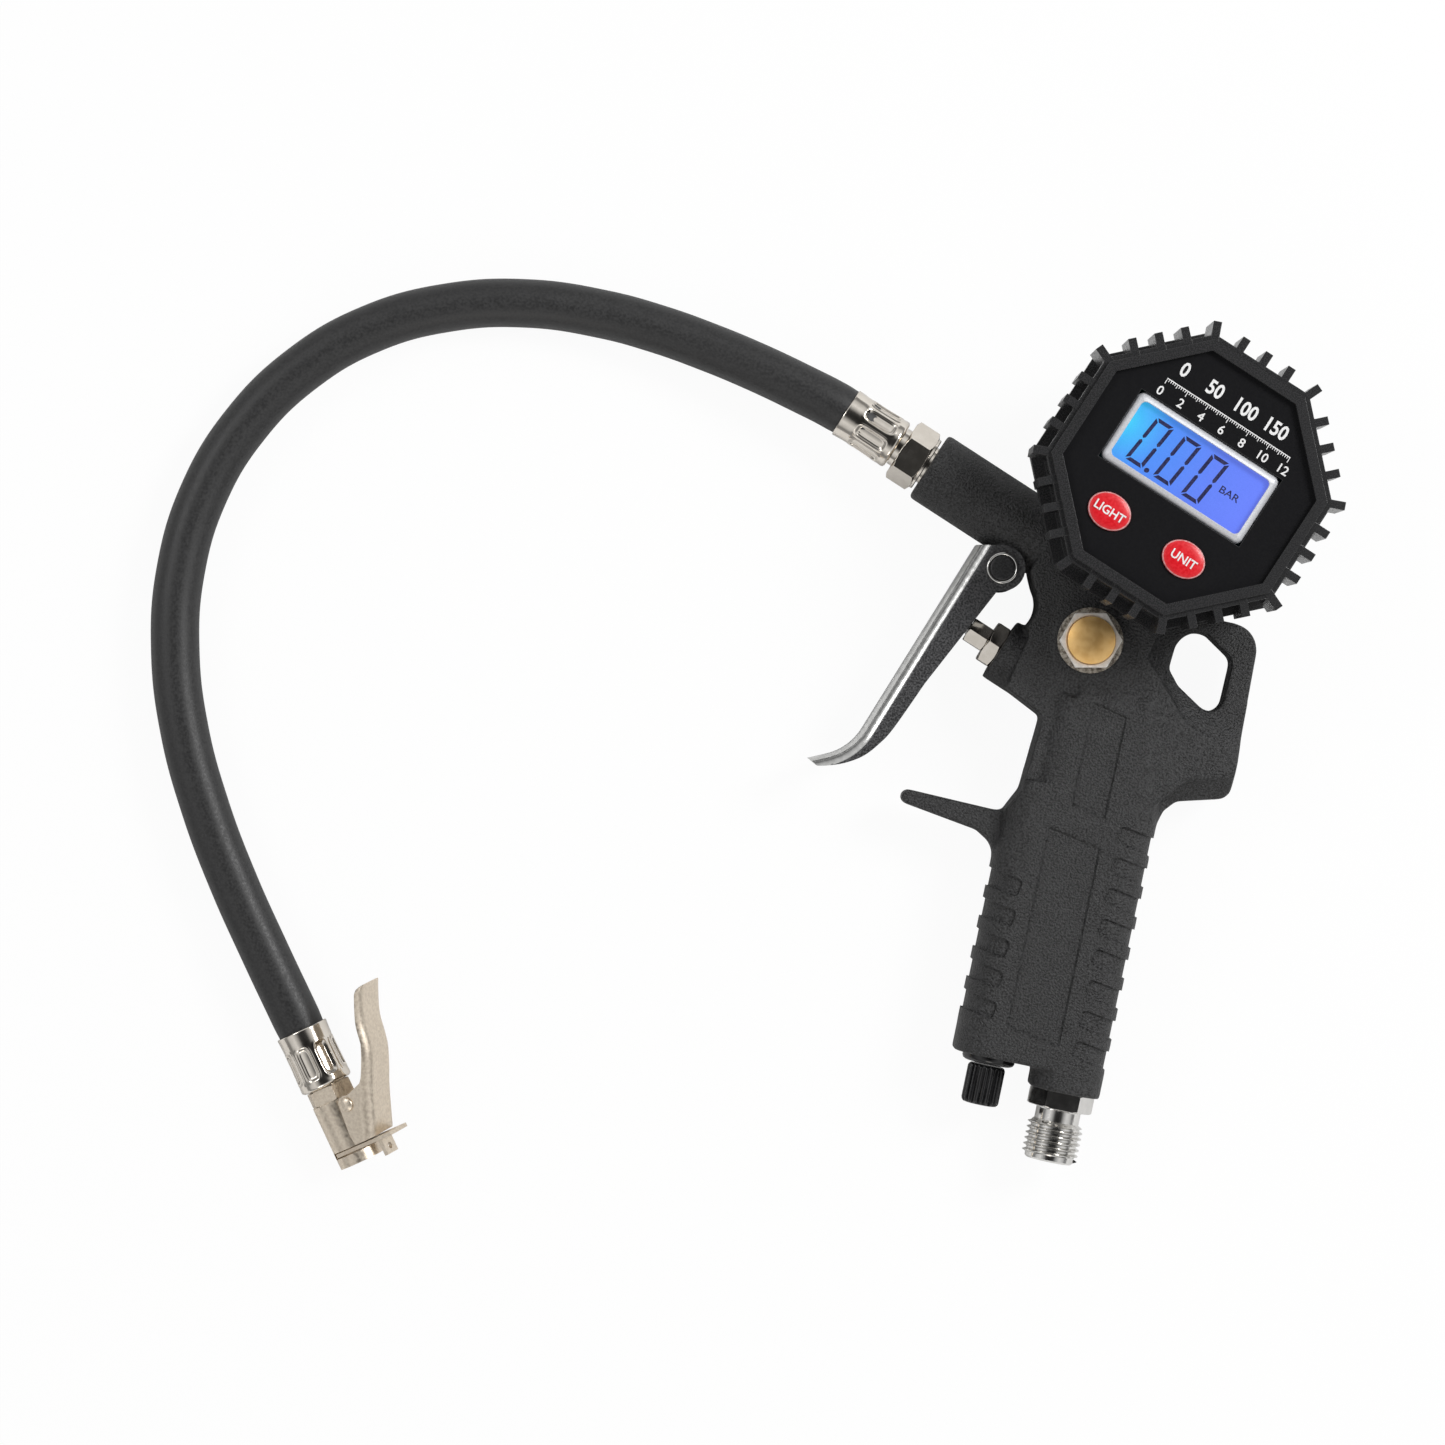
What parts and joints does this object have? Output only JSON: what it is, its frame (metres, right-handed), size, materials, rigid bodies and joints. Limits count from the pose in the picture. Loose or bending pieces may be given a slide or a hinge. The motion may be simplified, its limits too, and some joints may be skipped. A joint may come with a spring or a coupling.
{
  "type": "tyre inflator with gauge",
  "caption": "Hand-held tyre inflator pistol with a digital gauge in a rubber boot, a squeeze trigger, a short hose and a clip-on lever chuck.",
  "frame": {"origin": "centre of the air inlet's open end, on the thread's axis", "axes": "+Z out of the gauge's face, away from the surface that the tool lies on; +Y up the handle from the air inlet to the head; +X from the trigger side to the palm side, by the right-hand rule"},
  "size_m": [0.2783, 0.244, 0.0521],
  "materials": {
    "body_paint": "powder coat",
    "steel": "machined",
    "bright_steel": "polished",
    "trigger_steel": "satin",
    "pin_black": "satin",
    "knob_black": "gloss",
    "seal_rubber": "matte",
    "nickel": "nickel plate",
    "collar_nickel": "worn nickel plate",
    "brass": "brushed",
    "copper": "plain",
    "boot_rubber": "semi gloss",
    "case_plastic": "matte",
    "face_gloss": "gloss",
    "frame_silver": "satin",
    "display_glass": "clear",
    "light_plastic": "matte",
    "board_green": "matte",
    "button_red": "gloss",
    "battery_wrap": "gloss",
    "hose_rubber": "matte"
  },
  "bodies": {
    "pistol": {"body": "body_paint", "inlet_fitting": "steel", "inlet_screen": "steel", "knob_gland": "knob_black", "knob_seal": "seal_rubber", "pivot_pin": "pin_black", "pivot_clips": "bright_steel", "valve_guide": "nickel", "valve_gland": "nickel", "stem_packing": "seal_rubber", "valve_seat": "brass", "valve_spring": "steel", "bleed_collar": "collar_nickel", "bleed_spring": "steel", "gauge_nipple": "brass", "nipple_washer": "copper", "pressure_sensor": "steel", "gauge_boot": "boot_rubber", "gauge_case": "case_plastic", "gauge_back": "case_plastic", "back_screws": "steel", "face_plate": "face_gloss", "lcd_bezel": "frame_silver", "lcd_glass": "display_glass", "backlight": "light_plastic", "contact_strips": "seal_rubber", "circuit_board": "board_green", "board_screws": "steel", "key_switches": "case_plastic", "batteries": "battery_wrap", "battery_contacts": "bright_steel", "front_fitting": "nickel", "front_ferrule": "nickel", "hose": "hose_rubber", "chuck_ferrule": "nickel", "chuck_stem": "nickel", "chuck_body": "nickel", "chuck_seal": "seal_rubber", "valve_depressor": "brass", "lever_rivet": "bright_steel", "lever_spring": "steel"},
    "trigger": {"trigger": "trigger_steel"},
    "plunger": {"plunger": "bright_steel", "poppet_seal": "seal_rubber"},
    "needle": {"needle": "steel"},
    "knob": {"flow_knob": "knob_black"},
    "bleeder": {"bleed_button": "brass", "bleed_seal": "seal_rubber"},
    "light_key": {"light_button": "button_red"},
    "unit_key": {"unit_button": "button_red"},
    "lever": {"chuck_lever": "nickel"},
    "jaw": {"jaw_plate": "nickel"}
  },
  "joints": [
    {"name": "trigger_squeeze", "type": "hinge", "parent": "pistol", "child": "trigger", "pos_m": [-0.04096, 0.1395, 0], "axis": [0, 0, 1], "range_deg": [0, 12], "stiffness_Nm_per_rad": 1, "springref_deg": -17.19},
    {"name": "plunger_slide", "type": "slide", "parent": "pistol", "child": "plunger", "axis": [0.9323, -0.3616, 0], "range_m": [0, 0.0036], "deforming": ["valve_spring"]},
    {"name": "needle_travel", "type": "slide", "parent": "pistol", "child": "needle", "axis": [0, -1, 0], "range_m": [0, 0.002]},
    {"name": "knob_turn", "type": "hinge", "parent": "needle", "child": "knob", "pos_m": [-0.0194, 0.0174, 0], "axis": [0, -1, 0], "range_deg": [0, 720]},
    {"name": "bleed_press", "type": "slide", "parent": "pistol", "child": "bleeder", "axis": [0, 0, -1], "range_m": [0, 0.0015], "stiffness_N_per_m": 300, "springref_m": -0.004, "deforming": ["bleed_spring"]},
    {"name": "light_press", "type": "slide", "parent": "pistol", "child": "light_key", "axis": [0, 0, -1], "range_m": [0, 0.0005], "stiffness_N_per_m": 60, "springref_m": -0.002},
    {"name": "unit_press", "type": "slide", "parent": "pistol", "child": "unit_key", "axis": [0, 0, -1], "range_m": [0, 0.0005], "stiffness_N_per_m": 60, "springref_m": -0.002},
    {"name": "chuck_lever_press", "type": "hinge", "parent": "pistol", "child": "lever", "pos_m": [-0.16858, -0.01962, -0.00176], "axis": [-0.3635, -0.272, 0.891], "range_deg": [0, 18], "deforming": ["lever_spring"]},
    {"name": "jaw_slide", "type": "slide", "parent": "pistol", "child": "jaw", "axis": [0.7135, 0.5337, 0.454], "range_m": [0, 0.00323], "stiffness_N_per_m": 600, "springref_m": -0.004}
  ],
  "couplings": [
    {"joint": "plunger_slide", "follows": "trigger_squeeze", "m_per_rad": 0.0165},
    {"joint": "knob_turn", "follows": "needle_travel", "rad_per_m": 6283.2},
    {"joint": "chuck_lever_press", "follows": "jaw_slide", "rad_per_m": 97.087}
  ]
}
